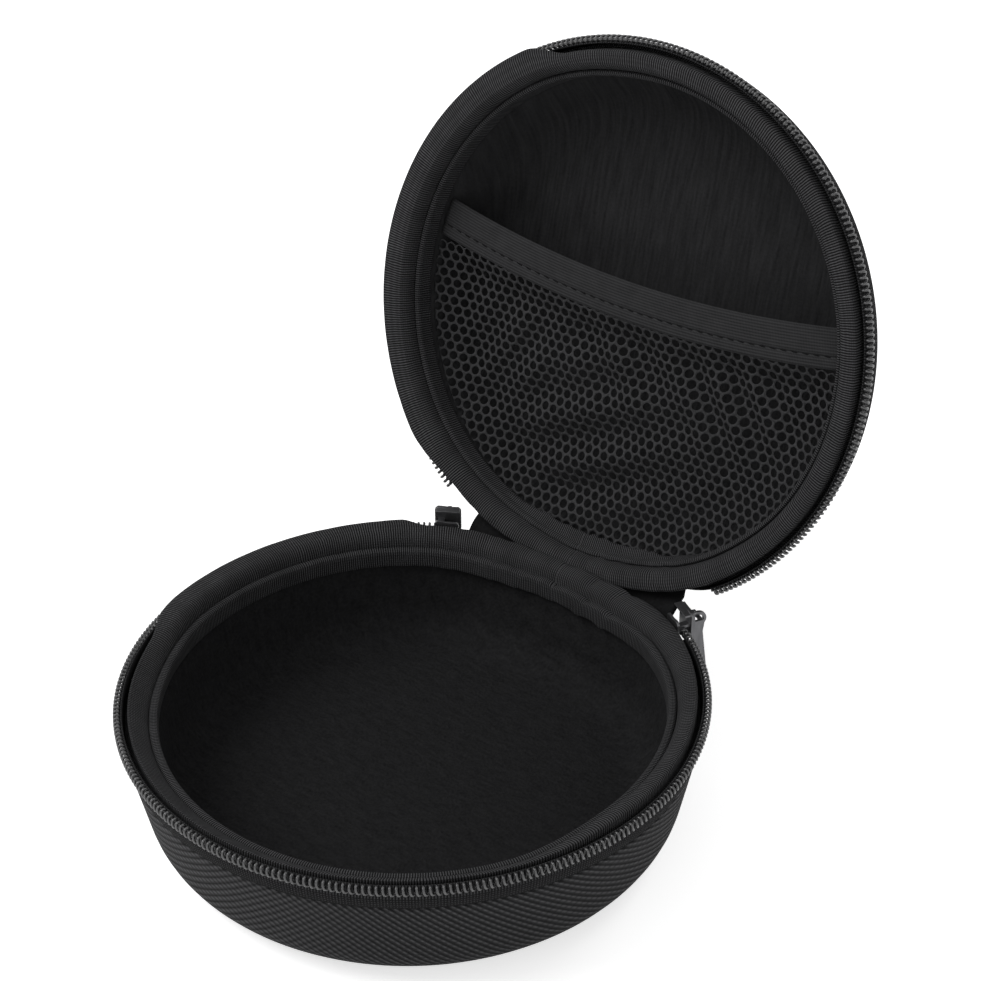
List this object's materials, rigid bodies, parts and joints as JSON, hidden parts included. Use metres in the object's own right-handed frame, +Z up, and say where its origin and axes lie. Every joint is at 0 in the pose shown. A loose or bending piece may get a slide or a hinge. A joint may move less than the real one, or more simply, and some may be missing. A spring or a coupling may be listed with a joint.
{
  "type": "headphone carrying case",
  "caption": "Round hard-shell clamshell case for headphones, with a fabric hinge, a two-slider coil zip, fleece lining and a net pocket in the lid.",
  "frame": {"origin": "centre of the round tray's base, on the surface that it stands on", "axes": "+Z up out of the tray; +Y towards the hinge; +X to the right seen from the front"},
  "size_m": [0.1722, 0.2288, 0.1999],
  "materials": {
    "ballistic_twill": "black herringbone ballistic polyester, matt",
    "moulded_foam": "moulded closed-cell foam, matt",
    "fleece_lining": "black fleece with a faint nap",
    "brushed_lining": "black brushed knit with upright streaks",
    "ribbed_tape": "fine ribbed polyester tape, matt",
    "zip_tape": "fine plain-woven zip tape",
    "nylon_coil": "black nylon coil, glossy",
    "pocket_mesh": "knitted polyester net",
    "elastic_hem": "woven elastic, matt",
    "slider_metal": "black-nickel plated zinc, satin",
    "pull_metal": "black-nickel plated zinc, satin"
  },
  "bodies": {
    "tray": {"tray_cover": "ballistic_twill", "tray_shell": "moulded_foam", "tray_lining": "fleece_lining", "tray_rim_band": "ribbed_tape", "tray_rim_core": "moulded_foam", "tray_binding": "ribbed_tape", "tray_zip_tape": "zip_tape", "tray_zip_coil": "nylon_coil", "tray_hinge_strip": "ballistic_twill"},
    "lid": {"lid_cover": "ballistic_twill", "lid_shell": "moulded_foam", "lid_lining": "brushed_lining", "lid_rim_band": "ribbed_tape", "lid_rim_core": "moulded_foam", "lid_binding": "ribbed_tape", "lid_zip_tape": "zip_tape", "lid_zip_coil": "nylon_coil", "lid_hinge_strip": "ballistic_twill", "pocket_net": "pocket_mesh", "pocket_hem": "elastic_hem"},
    "slider_right": {"slider_right": "slider_metal", "slider_bail_right": "slider_metal"},
    "slider_left": {"slider_left": "slider_metal", "slider_bail_left": "slider_metal"},
    "pull_right": {"pull_right": "pull_metal"},
    "pull_left": {"pull_left": "pull_metal"}
  },
  "joints": [
    {"name": "lid_hinge", "type": "hinge", "parent": "tray", "child": "lid", "pos_m": [0, 0.0771, 0.0426], "axis": [-1, 0, 0], "range_deg": [-105, 74]},
    {"name": "slider_right_travel", "type": "hinge", "parent": "tray", "child": "slider_right", "pos_m": [0, 0, 0.0426], "axis": [0, 0, -1], "range_deg": [0, 144]},
    {"name": "slider_left_travel", "type": "hinge", "parent": "tray", "child": "slider_left", "pos_m": [0, 0, 0.0426], "axis": [0, 0, 1], "range_deg": [0, 144]},
    {"name": "pull_right_swing", "type": "hinge", "parent": "slider_right", "child": "pull_right", "pos_m": [0.04742, 0.07738, 0.0426], "axis": [0.8526, -0.5225, 0], "range_deg": [-10, 110]},
    {"name": "pull_left_swing", "type": "hinge", "parent": "slider_left", "child": "pull_left", "pos_m": [-0.04742, 0.07738, 0.0426], "axis": [0.8526, 0.5225, 0], "range_deg": [-10, 110]}
  ]
}
